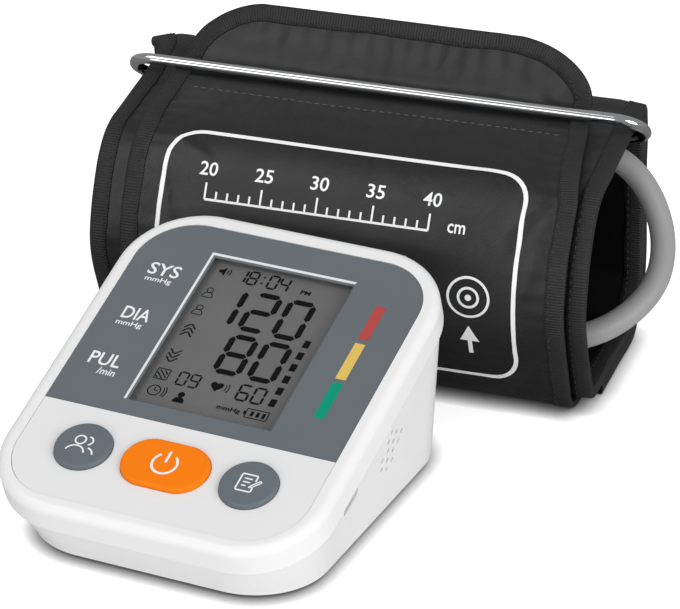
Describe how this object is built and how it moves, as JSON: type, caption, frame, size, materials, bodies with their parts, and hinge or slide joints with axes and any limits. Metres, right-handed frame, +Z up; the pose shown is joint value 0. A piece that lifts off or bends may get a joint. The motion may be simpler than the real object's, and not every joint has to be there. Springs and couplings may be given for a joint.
{
  "type": "upper arm blood pressure monitor with cuff",
  "caption": "Upper-arm blood pressure monitor: white wedge-shaped desk unit with sloping display and push buttons, beside a rolled black arm cuff with a steel ring and grey air hose.",
  "frame": {"origin": "middle of the whole object without its hose, on the surface it stands on", "axes": "+Z up, the desk unit's front faces -Y, +X to the right of someone who reads the display"},
  "size_m": [0.18, 0.2163, 0.0974],
  "materials": {
    "case_white": "fine satin moulded ABS, white",
    "panel_grey": "satin slate-grey plastic",
    "panel_pale": "satin pale grey-white plastic",
    "lens_clear": "clear flat acrylic",
    "lcd_grey": "grey reflective liquid crystal display",
    "contact_rubber": "layered conductive silicone strip",
    "tray_dark": "dark moulded plastic",
    "button_grey": "satin slate-grey keycap with a pale printed symbol",
    "button_orange": "smooth orange keycap with a white printed symbol",
    "board_green": "solder-masked glass-fibre board",
    "chip_black": "moulded epoxy",
    "steel": "zinc-plated steel",
    "nickel": "nickel-plated steel",
    "motor_steel": "plated motor can",
    "pump_plastic": "black moulded plastic",
    "tube_rubber": "soft clear-white silicone tube",
    "foot_rubber": "dark rubber",
    "cell_wrap": "printed shrink sleeve on a dry cell",
    "cuff_fabric": "tight black nylon weave",
    "lining_fabric": "black laminated nylon",
    "loop_fabric": "black brushed loop and hook tape",
    "binding_tape": "dark grey woven binding tape",
    "bag_rubber": "thin black polymer air bag",
    "ring_chrome": "polished chromed wire",
    "elbow_plastic": "black moulded plastic",
    "hose_grey": "smooth grey PVC hose",
    "plug_grey": "ribbed grey plastic"
  },
  "bodies": {
    "root": {"lower_case": "case_white", "upper_case": "case_white", "display_panel": "panel_grey", "button_panel": "panel_pale", "lcd_window": "lens_clear", "lcd_glass": "lcd_grey", "lcd_holder": "tray_dark", "lcd_connector": "contact_rubber", "button_switches": "chip_black", "main_board": "board_green", "board_chips": "chip_black", "board_screws": "steel", "pressure_sensor": "chip_black", "pump_motor": "motor_steel", "air_pump": "pump_plastic", "release_valve": "motor_steel", "air_manifold": "pump_plastic", "air_tubes": "tube_rubber", "air_socket": "pump_plastic", "speaker": "chip_black", "usb_socket": "nickel", "batteries": "cell_wrap", "battery_plates": "nickel", "battery_springs": "nickel", "case_screws": "steel", "rubber_feet": "foot_rubber", "cuff_outer_cover": "cuff_fabric", "bladder": "bag_rubber", "cuff_inner_lining": "lining_fabric", "closure_panel": "cuff_fabric", "hook_patch": "loop_fabric", "panel_binding": "binding_tape", "right_binding": "binding_tape", "left_binding": "binding_tape", "ring_keeper": "lining_fabric", "hose_nipple": "elbow_plastic", "hose_tube": "hose_grey", "hose_hank": "hose_grey", "air_plug": "plug_grey", "hose_tie": "elbow_plastic"},
    "user_button": {"user_button": "button_grey", "user_plunger": "pump_plastic"},
    "power_button": {"power_button": "button_orange", "power_plunger": "pump_plastic"},
    "memory_button": {"memory_button": "button_grey", "memory_plunger": "pump_plastic"},
    "battery_door": {"battery_door": "case_white"},
    "closure_ring": {"closure_ring": "ring_chrome"}
  },
  "joints": [
    {"name": "user_press", "type": "slide", "parent": "root", "child": "user_button", "axis": [0, 0.342, -0.9397], "range_m": [0, 0.0008], "stiffness_N_per_m": 2000, "springref_m": -0.0003},
    {"name": "power_press", "type": "slide", "parent": "root", "child": "power_button", "axis": [0, 0.342, -0.9397], "range_m": [0, 0.0008], "stiffness_N_per_m": 2000, "springref_m": -0.0003},
    {"name": "memory_press", "type": "slide", "parent": "root", "child": "memory_button", "axis": [0, 0.342, -0.9397], "range_m": [0, 0.0008], "stiffness_N_per_m": 2000, "springref_m": -0.0003},
    {"name": "battery_door_hinge", "type": "hinge", "parent": "root", "child": "battery_door", "pos_m": [0.00582, -0.05943, 0.0012], "axis": [-1, 0, 0], "range_deg": [0, 75]},
    {"name": "ring_swing", "type": "hinge", "parent": "root", "child": "closure_ring", "pos_m": [-0.00063, 0.08083, 0.0708], "axis": [-0.9925, -0.1219, 0], "range_deg": [0, 32]}
  ]
}
